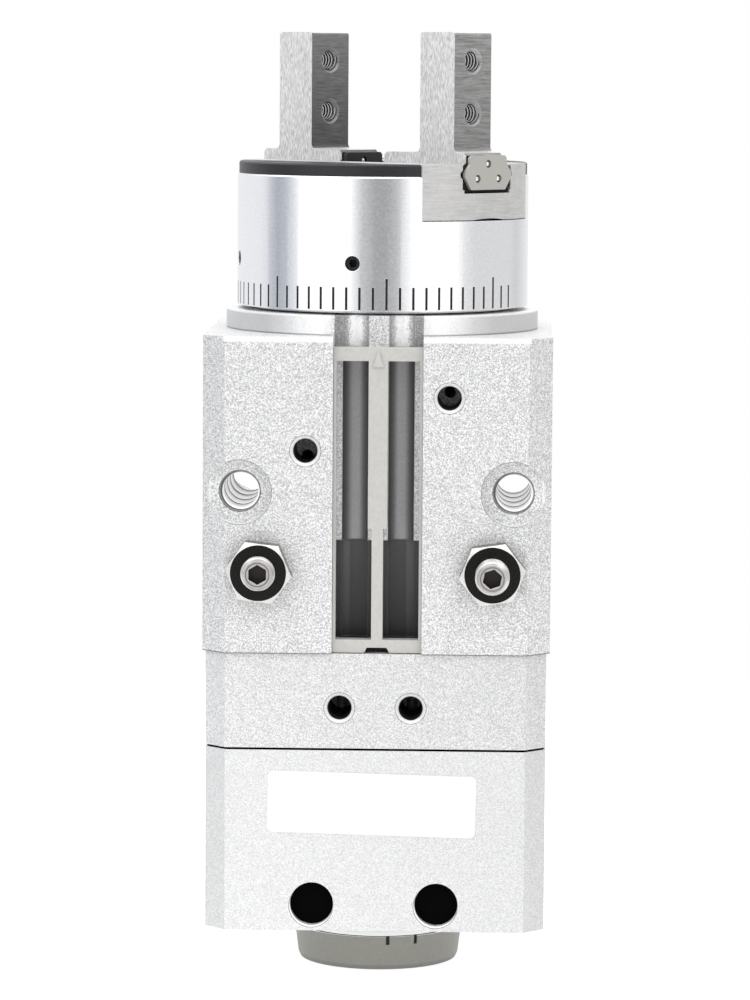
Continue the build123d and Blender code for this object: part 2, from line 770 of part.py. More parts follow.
def guide_seat():
    """Cuts the guide block's seat across the head, down to the block's underside."""
    with BuildSketch(head_plane(guide_low)) as seat:
        Rectangle(2 * ring_r, 2 * (guide_half_w + seat_gap))
    extrude(seat.sketch, amount=plate_low - guide_low, mode=Mode.SUBTRACT)


with BuildPart() as head_body:
    disc(head_bearing["bore"], head_foot, head_bearing["high"] + slip)
    disc(head_neck_r, head_bearing["high"] + slip, head_low)
    disc(head_r, head_low, plate_low)
    disc(rod_r + bore_gap, head_foot, guide_low, Mode.SUBTRACT)
    guide_seat()
    # the slot that the levers swing in
    with BuildSketch(head_plane(lever_slot_low)):
        Rectangle(lever_slot_l, lever_slot_w)
    extrude(amount=guide_low - lever_slot_low, mode=Mode.SUBTRACT)
    for side in SIDES.values():
        with Locations(Plane(origin=finger_line * side * pivot_u + up * pivot_z, z_dir=cross_line)):
            Cylinder(lever_pin_r + seat_gap, 2 * head_r, mode=Mode.SUBTRACT)
    with Locations(head_plane(guide_low)):
        with GridLocations(*guide_screw_grid, 2, 2):
            Hole(guide_screw_r, depth=guide_screw_hole)
    with Locations(head_plane(plate_low)):
        with GridLocations(2 * cover_screw_x, 2 * cover_screw_y, 2, 2):
            Hole(cover_screw_r, depth=cover_screw_hole)
    for screw_plane in ring_screw_planes(ring_inner_r - ring_screw_bite):
        with Locations(screw_plane):
            Cylinder(ring_screw_r, ring_r, align=ON_BASE, mode=Mode.SUBTRACT)
head_body.part.label = "head_body"
export_step(head_body.part, "parts/head_body.step")

with BuildPart() as scale_ring:
    disc(ring_r, ring_low, plate_low)
    disc(ring_inner_r, ring_low, plate_low, Mode.SUBTRACT)
    top_rim = scale_ring.edges().filter_by(GeomType.CIRCLE).group_by(Axis.Z)[-1].sort_by(SortBy.RADIUS)[-1]
    chamfer(top_rim, rim_chamfer)
    guide_seat()
    for screw_plane in ring_screw_planes(head_r):
        with Locations(screw_plane):
            Cylinder(ring_screw_r, ring_r - ring_inner_r + 1, align=ON_BASE, mode=Mode.SUBTRACT)
    # the scale runs from the right finger round the front to the left, two marks past both ends
    for index in range(-marks_past_end, marks_in_scale + marks_past_end + 1):
        tall = long_mark if index % marks_per_long == 0 else short_mark
        outward = finger_line.rotate(Axis.Z, mark_lead - mark_step * index)
        mark_floor = Plane(origin=outward * (ring_r - mark_depth), x_dir=up.cross(outward), z_dir=outward)
        with BuildSketch(mark_floor):
            with Locations((0, ring_low + mark_foot)):
                Rectangle(mark_w, tall, align=(Align.CENTER, Align.MIN))
        extrude(amount=2 * mark_depth, mode=Mode.SUBTRACT)
scale_ring.part.label = "scale_ring"
export_step(scale_ring.part, "parts/scale_ring.step")

with BuildPart() as ring_screws:
    for screw_plane in ring_screw_planes(ring_r - ring_screw_sunk):
        with BuildSketch(screw_plane):
            Circle(ring_screw_r - slip / 2)
        extrude(amount=-ring_screw_l)
        cut_socket(ring_screw_socket, small_socket_depth, screw_plane)
ring_screws.part.label = "ring_screws"
export_step(ring_screws.part, "parts/ring_screws.step")

with BuildPart() as guide_block:
    with BuildSketch(head_plane(guide_low)):
        Rectangle(2 * ring_r, 2 * guide_half_w)
        Circle(ring_r, mode=Mode.INTERSECT)
    extrude(amount=plate_top - guide_low)
    # channel for the sliders, with a round ball race along each side
    with BuildSketch(section_plane(0)):
        with Locations((0, plate_top)):
            Rectangle(2 * channel_half_w, channel_depth - channel_foot_h, align=(Align.CENTER, Align.MAX))
        with Locations((0, channel_floor)):
            Rectangle(2 * channel_foot_half_w, 2 * channel_foot_h, align=(Align.CENTER, Align.MIN))
        with Locations((-race_v, race_z), (race_v, race_z)):
            Circle(guide_ball_r + slip)
    extrude(amount=ring_r, both=True, mode=Mode.SUBTRACT)
    mouth_edges = guide_block.edges().group_by(Axis.Z)[-1].filter_by(GeomType.LINE)
    middle = Vector(0, 0, plate_top)
    fillet([edge for edge in mouth_edges if edge.distance_to(middle) < channel_half_w + lip_r], lip_r)
    # shallow relief arch under each end
    for side in SIDES.values():
        with BuildSketch(section_plane(ring_inner_r, side)):
            with Locations((0, guide_low + arch_rise - arch_r)):
                Circle(arch_r)
        extrude(amount=ring_r, mode=Mode.SUBTRACT)
    # windows for the levers
    with BuildSketch(head_plane(guide_low)):
        with GridLocations(2 * pivot_u, 0, 2, 1):
            Rectangle(window_l, lever_slot_w)
    extrude(amount=2 * channel_depth, mode=Mode.SUBTRACT)
    with Locations(head_plane(channel_floor)):
        CounterBoreHole(centre_screw_r, centre_screw_head_r + bore_gap, centre_screw_head_h)
        with GridLocations(*guide_screw_grid, 2, 2):
            CounterBoreHole(guide_screw_r, guide_screw_head_r, guide_screw_head_h)
    disc(spindle_r + slip, guide_low, guide_low + spindle_nose, Mode.SUBTRACT)
guide_block.part.label = "guide_block"
export_step(guide_block.part, "parts/guide_block.step")

with BuildPart() as centre_screw:
    disc(centre_screw_r - slip, centre_screw_foot, channel_floor - centre_screw_head_h)
    disc(centre_screw_head_r, channel_floor - centre_screw_head_h, channel_floor - screw_sunk)
    cut_socket(*centre_screw_socket, head_plane(channel_floor - screw_sunk))
centre_screw.part.label = "centre_screw"
export_step(centre_screw.part, "parts/centre_screw.step")

with BuildPart() as guide_screws:
    with Locations(head_plane(guide_screw_seat)):
        with GridLocations(*guide_screw_grid, 2, 2):
            Cylinder(guide_screw_r - slip / 2, guide_screw_l, align=UNDER)
            Cylinder(guide_screw_head_r - bore_gap, guide_screw_head_h - screw_sunk, align=ON_BASE)
    with BuildSketch(head_plane(channel_floor - screw_sunk)):
        with GridLocations(*guide_screw_grid, 2, 2):
            RegularPolygon(small_socket / 2, 6, major_radius=False)
    extrude(amount=-small_socket_depth, mode=Mode.SUBTRACT)
guide_screws.part.label = "guide_screws"
export_step(guide_screws.part, "parts/guide_screws.step")

with BuildPart() as cover_screws:
    cover_screw_face = head_plane(plate_top - running_gap)
    with Locations(cover_screw_face):
        with GridLocations(2 * cover_screw_x, 2 * cover_screw_y, 2, 2):
            Cone(cover_screw_r - slip, cover_screw_head_r - running_gap, cover_screw_head_h, align=UNDER)
            Cylinder(cover_screw_r - slip, cover_screw_l, align=UNDER)
    with BuildSketch(cover_screw_face):
        with GridLocations(2 * cover_screw_x, 2 * cover_screw_y, 2, 2):
            RegularPolygon(small_socket / 2, 6, major_radius=False)
    extrude(amount=-small_socket_depth, mode=Mode.SUBTRACT)
cover_screws.part.label = "cover_screws"
export_step(cover_screws.part, "parts/cover_screws.step")

for plate_name, side in {"front": -1, "rear": 1}.items():
    with BuildPart() as cover_plate:
        with BuildSketch(head_plane(plate_low, side)):
            Circle(plate_r)
            with Locations((0, guide_half_w + running_gap)):
                Rectangle(2 * plate_r, 2 * plate_r, align=(Align.CENTER, Align.MIN), mode=Mode.INTERSECT)
        extrude(amount=plate_top - plate_low)
        chamfer(cover_plate.edges().group_by(Axis.Z)[-1].filter_by(GeomType.CIRCLE), rim_chamfer)
        with Locations(head_plane(plate_top, side)):
            with Locations((-cover_screw_x, cover_screw_y), (cover_screw_x, cover_screw_y)):
                CounterSinkHole(cover_screw_r, cover_screw_head_r)
    cover_plate.part.label = f"cover_plate_{plate_name}"
    export_step(cover_plate.part, f"parts/cover_plate_{plate_name}.step")

with BuildPart() as lever_pins:
    for side in SIDES.values():
        with Locations(Plane(origin=finger_line * side * pivot_u + up * pivot_z, z_dir=cross_line)):
            Cylinder(lever_pin_r, lever_pin_l)
lever_pins.part.label = "lever_pins"
export_step(lever_pins.part, "parts/lever_pins.step")

# ---- piston and rod ------------------------------------------------------------------------------

with BuildPart() as piston:
    disc(piston_r, piston_low, piston_low + piston_t)
    disc(rod_r, piston_low, piston_low + piston_t, Mode.SUBTRACT)
    for seal_name in ("piston_seal", "piston_magnet"):
        inside, _, low, high = seals[seal_name]
        with BuildSketch(Plane.XY.offset(low)):
            Circle(cylinder_r)
            Circle(inside, mode=Mode.SUBTRACT)
        extrude(amount=high - low, mode=Mode.SUBTRACT)
piston.part.label = "piston"
export_step(piston.part, "parts/piston.step")

with BuildPart() as piston_rod:
    disc(rod_r, piston_low, rod_top)
    disc(rod_bore_r, piston_low, rod_top, Mode.SUBTRACT)
    seal_groove("bore_seal")
    chamfer(piston_rod.edges().group_by(Axis.Z)[-1].sort_by(SortBy.RADIUS)[-1], rod_chamfer)
    # window that both levers' inner arms reach into
    with Locations(head_plane(rod_pin_z)):
        Box(2 * rod_r + 1, lever_slot_w, rod_window_h, mode=Mode.SUBTRACT)
piston_rod.part.label = "piston_rod"
export_step(piston_rod.part, "parts/piston_rod.step")

# ---- levers and fingers --------------------------------------------------------------------------

lean = radians(swing)
for side_name, side in SIDES.items():
    pivot = finger_line * side * pivot_u + up * pivot_z
    lever_plane = Plane(origin=pivot, x_dir=finger_line * side * cos(lean) - up * sin(lean),
                        z_dir=cross_line * -side)
    with BuildPart() as lever:
        with BuildSketch(lever_plane):
            # finger arm, necked just short of its round end
            with BuildSketch(mode=Mode.PRIVATE) as finger_arm_outline:
                Circle(lever_root_r)
                with Locations((0, finger_arm - lever_neck_l)):
                    Circle(lever_neck_w / 2)
                make_hull()
            add(finger_arm_outline.sketch)
            with Locations((0, finger_arm)):
                Rectangle(lever_neck_w, 2 * lever_neck_l, align=(Align.CENTER, Align.MAX))
                Circle(lever_tip_r)
            # rod arm
            with Locations((-rod_arm / 2, 0)):
                Rectangle(rod_arm, lever_heel_w)
            with Locations((-rod_arm, 0)):
                Circle(lever_heel_r)
            Circle(lever_hub_r)
            Circle(lever_pin_r + slip, mode=Mode.SUBTRACT)
        extrude(amount=lever_t / 2, both=True)
    lever.part.label = f"lever_{side_name}"
    export_step(lever.part, f"parts/lever_{side_name}.step")


def on_post(u):
    return post_in - slip < u < post_out + slip


# one end of each slider, the one towards the right, is closed by a resin cap under a stainless plate
end_t = cap_t + cap_plate_t
slider_ends = {"right": (slider_in, slider_out - end_t), "left": (slider_in + end_t, slider_out)}
cap_starts = {"right": slider_out - end_t, "left": slider_in + cap_plate_t}
plate_starts = {"right": slider_out - cap_plate_t, "left": slider_in}

for side_name, side in SIDES.items():
    metal_start, metal_end = slider_ends[side_name]
    with BuildPart() as finger:
        # slider, running in the guide block's channel on two rows of balls
        with BuildSketch(section_plane(metal_start, side)):
            with BuildLine():
                Polyline(both_sides(slider_half), close=True)
            make_face()
            with Locations((-race_v, race_z), (race_v, race_z)):
                Circle(guide_ball_r + slip, mode=Mode.SUBTRACT)
        extrude(amount=metal_end - metal_start)
        chamfer(finger.edges().group_by(Axis.Z)[-1].filter_by(cross_axis), slider_chamfer)
        with BuildSketch(head_plane(slider_top, side)):
            with Locations(((post_in + post_out) / 2, 0)):
                Rectangle(post_out - post_in, post_w)
        extrude(amount=tip_z - slider_top)
        foot_edges = finger.edges().filter_by(cross_axis).filter_by_position(Axis.Z, slider_top, slider_top)
        fillet([edge for edge in foot_edges if on_post(edge.center().dot(finger_line * side))], post_foot_r)
        fillet(finger.edges().filter_by(cross_axis).group_by(Axis.Z)[-1], post_tip_r)
        # tapped holes through the post, for the jaw
        for drop in finger_holes:
            for face_u, outward in ((post_out, side), (post_in, -side)):
                hole_mouth = finger_line * side * face_u + up * (tip_z - drop)
                with Locations(Plane(origin=hole_mouth, z_dir=finger_line * outward)):
                    CounterSinkHole(finger_hole_r, finger_hole_chamfer_r, depth=post_out - post_in)
        # slot that takes the lever's round end
        with Locations(head_plane(slider_low - bore_gap, side)):
            with Locations((pivot_u + finger_stroke / 2, 0)):
                Box(finger_slot_l, lever_slot_w, finger_slot_h, align=ON_BASE, mode=Mode.SUBTRACT)
    finger.part.label = f"finger_{side_name}"
    export_step(finger.part, f"parts/finger_{side_name}.step")

    with BuildPart() as slider_cap:
        with BuildSketch(section_plane(cap_starts[side_name], side)):
            with BuildLine():
                Polyline(both_sides(cap_half), close=True)
            make_face()
        extrude(amount=cap_t)
    slider_cap.part.label = f"slider_cap_{side_name}"
    export_step(slider_cap.part, f"parts/slider_cap_{side_name}.step")
    with BuildPart() as slider_plate:
        with BuildSketch(section_plane(plate_starts[side_name], side)):
            with BuildLine():
                Polyline(both_sides(cap_plate_half), close=True)
            make_face()
            fillet(vertices(), cap_plate_corner_r)
            with Locations(*cap_dimples):
                Circle(cap_dimple_r, mode=Mode.SUBTRACT)
        extrude(amount=cap_plate_t)
    slider_plate.part.label = f"slider_plate_{side_name}"
    export_step(slider_plate.part, f"parts/slider_plate_{side_name}.step")
    with BuildPart() as guide_balls:
        with Locations(head_plane(race_z, side)):
            with Locations(((slider_in + slider_out) / 2, 0)):
                with GridLocations(guide_ball_pitch, 2 * race_v, guide_ball_count, 2):
                    Sphere(guide_ball_r)
    guide_balls.part.label = f"guide_balls_{side_name}"
    export_step(guide_balls.part, f"parts/guide_balls_{side_name}.step")
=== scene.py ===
import json
import math

import bmesh
import bpy
from mathutils import Matrix, Vector


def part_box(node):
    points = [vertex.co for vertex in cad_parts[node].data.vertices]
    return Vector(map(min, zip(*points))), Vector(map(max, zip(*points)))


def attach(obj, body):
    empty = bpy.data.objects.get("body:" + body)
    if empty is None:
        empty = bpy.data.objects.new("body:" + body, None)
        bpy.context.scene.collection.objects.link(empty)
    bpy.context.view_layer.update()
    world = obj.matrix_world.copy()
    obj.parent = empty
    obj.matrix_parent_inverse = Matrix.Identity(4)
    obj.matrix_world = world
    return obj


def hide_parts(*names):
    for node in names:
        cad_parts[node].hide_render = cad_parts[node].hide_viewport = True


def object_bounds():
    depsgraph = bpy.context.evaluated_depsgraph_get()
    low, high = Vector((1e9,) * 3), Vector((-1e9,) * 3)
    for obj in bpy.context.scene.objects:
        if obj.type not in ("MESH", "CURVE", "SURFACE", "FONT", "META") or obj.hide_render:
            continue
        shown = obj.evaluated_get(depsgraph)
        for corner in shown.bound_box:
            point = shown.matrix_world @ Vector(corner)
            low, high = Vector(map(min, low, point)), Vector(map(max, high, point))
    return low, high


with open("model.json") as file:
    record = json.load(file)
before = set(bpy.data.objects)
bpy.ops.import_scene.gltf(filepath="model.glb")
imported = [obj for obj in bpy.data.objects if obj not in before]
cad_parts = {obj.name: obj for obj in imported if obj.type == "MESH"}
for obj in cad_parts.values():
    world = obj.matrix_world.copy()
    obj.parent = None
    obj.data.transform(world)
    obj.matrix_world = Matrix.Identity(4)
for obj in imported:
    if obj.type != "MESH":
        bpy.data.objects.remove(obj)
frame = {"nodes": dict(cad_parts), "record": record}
cad_low, cad_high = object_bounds()
nodes = frame["nodes"]
scene = bpy.context.scene

# The head is turned: u runs along the fingers' travel, v across it.
HEAD_AZIMUTH = math.radians(47.5)
HEAD_TURN = math.pi / 2 - HEAD_AZIMUTH
U = Vector((math.sin(HEAD_AZIMUTH), -math.cos(HEAD_AZIMUTH), 0.0))
V = Vector((math.cos(HEAD_AZIMUTH), math.sin(HEAD_AZIMUTH), 0.0))
UP = Vector((0.0, 0.0, 1.0))
FRONT = Vector((0.0, -1.0, 0.0))


# ---------------------------------------------------------------- shader graphs

class Graph:
    """A material or world node tree, written as expressions."""

    def __init__(self, owner):
        owner.use_nodes = True
        self.owner = owner
        self.tree = owner.node_tree
        self.tree.nodes.clear()

    def add(self, kind, inputs=None, **settings):
        node = self.tree.nodes.new("ShaderNode" + kind)
        for key, value in settings.items():
            setattr(node, key, value)
        for key, value in (inputs or {}).items():
            self.feed(node.inputs[key], value)
        return node

    def feed(self, socket, value):
        if isinstance(value, bpy.types.NodeSocket):
            self.tree.links.new(value, socket)
        else:
            socket.default_value = value

    def math(self, operation, first, second=0.0, third=0.0):
        node = self.add("Math", {0: first, 1: second, 2: third}, operation=operation)
        return node.outputs[0]

    def times(self, first, second):
        return self.math("MULTIPLY", first, second)

    def plus(self, first, second):
        return self.math("ADD", first, second)

    def minus(self, first, second):
        return self.math("SUBTRACT", first, second)

    def both(self, *masks):
        found = masks[0]
        for mask in masks[1:]:
            found = self.times(found, mask)
        return found

    def either(self, *masks):
        found = masks[0]
        for mask in masks[1:]:
            found = self.math("MAXIMUM", found, mask)
        return found

    def invert(self, mask):
        return self.minus(1.0, mask)

    def line(self, value, low, high, start=0.0, end=1.0, **settings):
        """Maps low..high to start..end, level beyond both."""
        node = self.add("MapRange", {"Value": value, "From Min": low, "From Max": high,
                                     "To Min": start, "To Max": end}, clamp=True, **settings)
        return node.outputs[0]

    def ease(self, value, low, high):
        return self.line(value, low, high, interpolation_type="SMOOTHSTEP")

    def over(self, value, limit, soft):
        """1 above a limit, 0 below it, with a soft step."""
        return self.line(value, limit - soft, limit + soft)

    def under(self, value, limit, soft):
        return self.line(value, limit + soft, limit - soft)

    def between(self, value, low, high, soft=0.00004):
        return self.both(self.over(value, low, soft), self.under(value, high, soft))

    def dim(self, mask, level):
        """1 outside a mask and the level inside it."""
        return self.line(mask, 0.0, 1.0, 1.0, level)

    def size(self, value):
        return self.math("ABSOLUTE", value)

    def length(self, first, second):
        squares = self.plus(self.times(first, first), self.times(second, second))
        return self.math("SQRT", squares)

    def mix(self, factor, first, second):
        node = self.add("Mix", data_type="RGBA", blend_type="MIX")
        self.feed(node.inputs[0], factor)
        self.feed(node.inputs[6], first)
        self.feed(node.inputs[7], second)
        return node.outputs[2]

    def scaled(self, colour, amount):
        base = colour[:3] if isinstance(colour, tuple) else colour
        node = self.add("VectorMath", {0: base}, operation="SCALE")
        self.feed(node.inputs["Scale"], amount)
        return node.outputs[0]

    def split(self, vector):
        return self.add("SeparateXYZ", {0: vector}).outputs

    def join(self, x, y, z):
        return self.add("CombineXYZ", {0: x, 1: y, 2: z}).outputs[0]

    def noise(self, place, scale, detail=2.0, rough=0.5):
        node = self.add("TexNoise", {"Vector": place, "Scale": scale, "Detail": detail,
                                     "Roughness": rough})
        return node.outputs["Fac"]

    def stretched(self, place, scales, detail=2.0, rough=0.5):
        node = self.add("Mapping", {"Vector": place, "Scale": scales})
        return self.noise(node.outputs[0], 1.0, detail, rough)

    def cells(self, place, scale):
        """A random level in every small cell, like the facets of a blasted surface."""
        node = self.add("TexVoronoi", {"Vector": place, "Scale": scale})
        return self.add("SeparateColor", {0: node.outputs["Color"]}).outputs[0]

    def bump(self, height, distance, strength=1.0, normal=None):
        node = self.add("Bump", {"Height": height, "Distance": distance,
                                 "Strength": strength})
        if normal is not None:
            self.feed(node.inputs["Normal"], normal)
        return node.outputs[0]


class Finish(Graph):
    """A material with its rest-frame coordinates and a rounded-edge normal ready."""

    def __init__(self, name, edge=0.00012, turned=0.0):
        super().__init__(bpy.data.materials.new(name))
        coords = self.add("TexCoord")
        spin = (0.0, 0.0, turned)
        self.place = self.add("Mapping", {"Vector": coords.outputs["Object"],
                                          "Rotation": spin}).outputs[0]
        self.facing = self.add("Mapping", {"Vector": coords.outputs["Normal"],
                                           "Rotation": spin}).outputs[0]
        self.x, self.y, self.z = self.split(self.place)
        self.nx, self.ny, self.nz = self.split(self.facing)
        self.round = self.add("Bevel", {"Radius": edge}, samples=4).outputs[0]

    def edges(self):
        """1 where the surface turns a sharp corner."""
        flat = self.add("NewGeometry").outputs["Normal"]
        dot = self.add("VectorMath", {0: self.round, 1: flat},
                       operation="DOT_PRODUCT").outputs["Value"]
        return self.line(self.invert(dot), 0.02, 0.22)

    def radius(self):
        """Distance from the rotation axis."""
        return self.length(self.x, self.y)

    def azimuth(self):
        """Angle around the rotation axis, from the front."""
        return self.math("ARCTAN2", self.x, self.times(self.y, -1.0))

    def reach(self, centre_x, centre_z):
        """Distance from an axis that runs front to back."""
        return self.length(self.minus(self.x, centre_x), self.minus(self.z, centre_z))

    def finish(self, colour, metallic, roughness, normal=None, **more):
        inputs = {"Base Color": colour, "Metallic": metallic, "Roughness": roughness}
        inputs["Normal"] = self.round if normal is None else normal
        inputs.update(more)
        shader = self.add("BsdfPrincipled", inputs)
        self.add("OutputMaterial", {"Surface": shader.outputs[0]})
        return self.owner


def grey(level, warm=0.0):
    return (level * (1 + warm), level, level * (1 - warm), 1.0)


# ---------------------------------------------------------------- materials

class Slot:
    """Masks of the body's switch slot, its grooves and pockets, and the boss above it."""

    def __init__(self, g):
        self.off_centre = g.size(g.minus(g.x, SLOT_X))
        self.off_groove = g.size(g.minus(self.off_centre, GROOVE_X))
        inside = g.both(g.under(self.off_centre, SLOT_HALF, 0.00002),
                        g.over(g.y, SLOT_FRONT, 0.000075), g.under(g.y, SLOT_BACK, 0.0005))
        self.strip = g.both(inside, g.over(self.off_centre, STRIP_FROM, 0.0001))
        self.groove = g.both(inside, g.under(self.off_groove, GROOVE_HALF, 0.0001),
                             g.over(g.z, GROOVE_LOW, 0.0001), g.under(g.z, RAIL_TOP, 0.0002))
        self.pocket = g.both(inside, g.under(g.z, POCKET_TOP, 0.00015))
        self.above_rail = g.both(inside, g.over(g.z, RAIL_TOP, 0.0001))
        self.boss = g.both(g.over(g.z, BODY_TOP + 0.000015, 0.000035),
                           g.over(g.radius(), BOSS_FACE, 0.00015))

    def shade(self, g, tone):
        """Paints shade into the hollows: darker strips, grooves and pockets, with painted light on the
        pockets' side walls and down the open grooves above the rail, and painted light and shade bands
        around the boss.
        """
        # painted shade: grooves darker at their edges, pockets darker towards the bottom, lighter
        # beside them and on their side walls
        groove = g.line(self.off_groove, 0.0021, 0.0006, 0.12, 0.50)
        pocket = g.line(g.z, -0.0090, -0.0250, 0.115, 0.035)
        beside = g.between(self.off_centre, 0.0049, 0.0061, 0.0001)
        side_light = g.times(g.line(g.size(g.nx), 0.4, 0.6), 0.10)
        pocket = g.plus(g.times(pocket, g.dim(beside, 1.6)), side_light)
        # painted highlight down the middle of the open grooves above the rail, with painted shade at
        # their edges
        open_groove = g.line(self.off_groove, 0.0022, 0.0006, 0.50, 1.70)
        centre_bar = g.under(self.off_centre, 0.00175, 0.00015)
        top = g.mix(centre_bar, open_groove, grey(0.92))
        # painted light and shade bands around the boss, and a painted shadow line at its foot
        bands = g.line(g.size(g.azimuth()), 0.42, 0.80, 1.22, 0.88)
        foot = g.line(g.z, BODY_TOP + 0.00010, BODY_TOP + 0.00035, 0.30, 1.0)
        for mask, level in ((self.strip, 0.85), (self.groove, groove), (self.pocket, pocket),
                            (self.above_rail, top), (self.boss, g.times(bands, foot))):
            tone = g.mix(mask, tone, g.times(tone, level))
        return tone

    def light(self, g, edge):
        """Paints highlights on the front face's top edge and the boss's rim, and keeps the painted edge
        highlight out of the hollows.
        """
        face_top = g.both(g.over(g.z, BODY_TOP - 0.0009, 0.0001), g.under(g.y, -0.02965, 0.00015))
        rim = g.both(self.boss, g.over(g.z, BOSS_TOP - 0.00025, 0.0001))
        edge = g.either(edge, g.times(face_top, 0.8), g.times(rim, 0.8))
        return g.times(edge, g.dim(g.either(self.groove, self.pocket), 0.2))


def blasted(name, level, sparkle, side_shade, slotted=False, mouths=(), plugs=(), shade_rightward=1.0):
    """Bead-blasted, clear-anodised aluminium, with painted light and shade on its faces and edges."""
    g = Finish(name, edge=0.00018)
    cell = g.cells(g.place, 7000.0)
    fine = g.noise(g.place, 9000.0, 1.0, 0.6)
    broad = g.noise(g.place, 60.0, 3.0)
    grain = g.plus(g.times(cell, 0.9), g.times(fine, 0.1))
    tone = g.line(grain, 0.2, 0.8, 1.0 - sparkle, 1.0 + 0.6 * sparkle)
    front = g.line(g.ny, -0.9, -0.97)
    # painted highlight along sharp edges
    edge = g.times(g.edges(), 0.62)
    if slotted:
        slot = Slot(g)
        smooth = g.either(slot.groove, slot.pocket, slot.boss)
        tone = g.mix(g.times(smooth, 0.8), tone, grey(1.0))
    # painted shade on side faces and chamfers, painted light on top faces, and painted shade growing
    # towards +x
    chamfered = g.line(g.size(g.nx), 0.5, 0.6)
    for factor in (g.line(broad, 0.3, 0.7, 0.985, 1.01), g.dim(chamfered, side_shade),
                   g.line(g.nz, 0.8, 0.95, 1.0, 1.2), g.line(g.x, -0.015, 0.025, 1.0, shade_rightward)):
        tone = g.times(tone, factor)
    if slotted:
        tone = slot.shade(g, tone)
        edge = slot.light(g, edge)
        # painted shadow line along the seam between the main body and the middle block, where no edge
        # highlight is painted
        seam_shadow = g.both(g.under(g.z, BODY_LOW + 0.00005, 0.00007), g.under(g.y, -0.02375, 0.00025))
        tone = g.times(tone, g.dim(seam_shadow, 0.25))
        edge = g.times(edge, g.invert(seam_shadow))
    # each bore mouth gets a painted highlight on its chamfer, a thin painted dark outline around it and
    # a painted shade ring at the bore's edge
    for centre_x, centre_z, bore, chamfer in mouths:
        reach = g.reach(centre_x, centre_z)
        near = g.under(g.y, -0.02725, 0.00025)
        outline = g.both(near, front, g.between(reach, chamfer, chamfer + 0.00014))
        lip = g.both(near, g.between(reach, bore, chamfer), g.invert(front))
        shade = g.both(near, front, g.under(reach, bore + 0.00025, 0.00005))
        edge = g.times(edge, g.invert(g.either(outline, shade)))
        edge = g.either(edge, g.times(lip, 0.8))
        tone = g.times(tone, g.dim(g.either(g.times(outline, 0.8), shade), 0.30))
    # a painted highlight on the lower lip of each plug's hole, with a thin painted dark outline beside
    # it
    for centre_x, centre_z, hole in plugs:
        outside = g.both(front, g.over(g.reach(centre_x, centre_z), hole + 0.000025, 0.000025))
        lip = g.reach(centre_x - LIP_LEFT, centre_z - LIP_DROP)
        edge = g.either(edge, g.both(outside, g.under(lip, hole + 0.00001, 0.00003)))
        outline = g.both(outside, g.between(lip, hole + 0.00002, hole + 0.00012))
        edge = g.times(edge, g.invert(outline))
        tone = g.times(tone, g.dim(outline, 0.15))
    colour = g.mix(edge, g.scaled(grey(level, -0.002), tone), grey(0.97))
    normal = g.bump(grain, 0.00002, 0.4, g.round)
    return g.finish(colour, 0.4, g.line(fine, 0.3, 0.7, 0.52, 0.40), normal)


def turned_ring(name):
    """Satin-turned aluminium with a black scale in its cut marks."""
    g = Finish(name, edge=0.00015)
    azimuth = g.azimuth()
    lines = g.stretched(g.join(g.times(azimuth, RING_R), 0.0, g.z), (120.0, 1.0, 9000.0), 2.0)
    satin = g.noise(g.place, 2600.0, 2.0)
    steps = g.math("DIVIDE", g.minus(FIRST_MARK, azimuth), MARK_STEP)
    nearest = g.math("ROUND", steps)
    off_mark = g.times(g.size(g.minus(steps, nearest)), MARK_STEP * RING_R)
    half = MARKS_PER_LONG / 2
    from_long = g.size(g.minus(g.math("FLOORED_MODULO", g.plus(nearest, half), 2 * half), half))
    short = g.over(from_long, 0.5, 0.1)
    top = g.plus(RING_LOW + LONG_MARK_TOP, g.times(short, SHORT_MARK_TOP - LONG_MARK_TOP))
    mark = g.both(g.under(off_mark, MARK_HALF, 0.000015), g.over(g.radius(), 0.0251, 0.0001),
                  g.over(g.minus(top, g.z), 0.0, 0.00002), g.over(g.z, RING_LOW + 0.00023, 0.00002),
                  g.between(nearest, -MARKS_PAST_END - 0.5, MARKS_IN_SCALE + MARKS_PAST_END + 0.5, 0.1))
    tone = g.plus(g.line(satin, 0.3, 0.7, 0.95, 1.02), g.line(lines, 0.3, 0.7, -0.02, 0.02))
    colour = g.mix(mark, g.scaled((0.93, 0.935, 0.95), tone), grey(0.008))
    normal = g.bump(lines, 0.000004, 0.25, g.round)
    rough = g.plus(g.line(satin, 0.3, 0.7, 0.16, 0.22), g.times(mark, 0.5))
    return g.finish(colour, g.invert(mark), rough, normal)


def machined(name):
    """Turned or milled aluminium with fine level tool lines."""
    g = Finish(name)
    grain = g.stretched(g.place, (300.0, 300.0, 6000.0), 2.0)
    colour = g.scaled((0.72, 0.725, 0.73), g.line(grain, 0.3, 0.7, 0.9, 1.05))
    return g.finish(colour, 0.9, 0.32, g.bump(grain, 0.00001, 0.3, g.round))


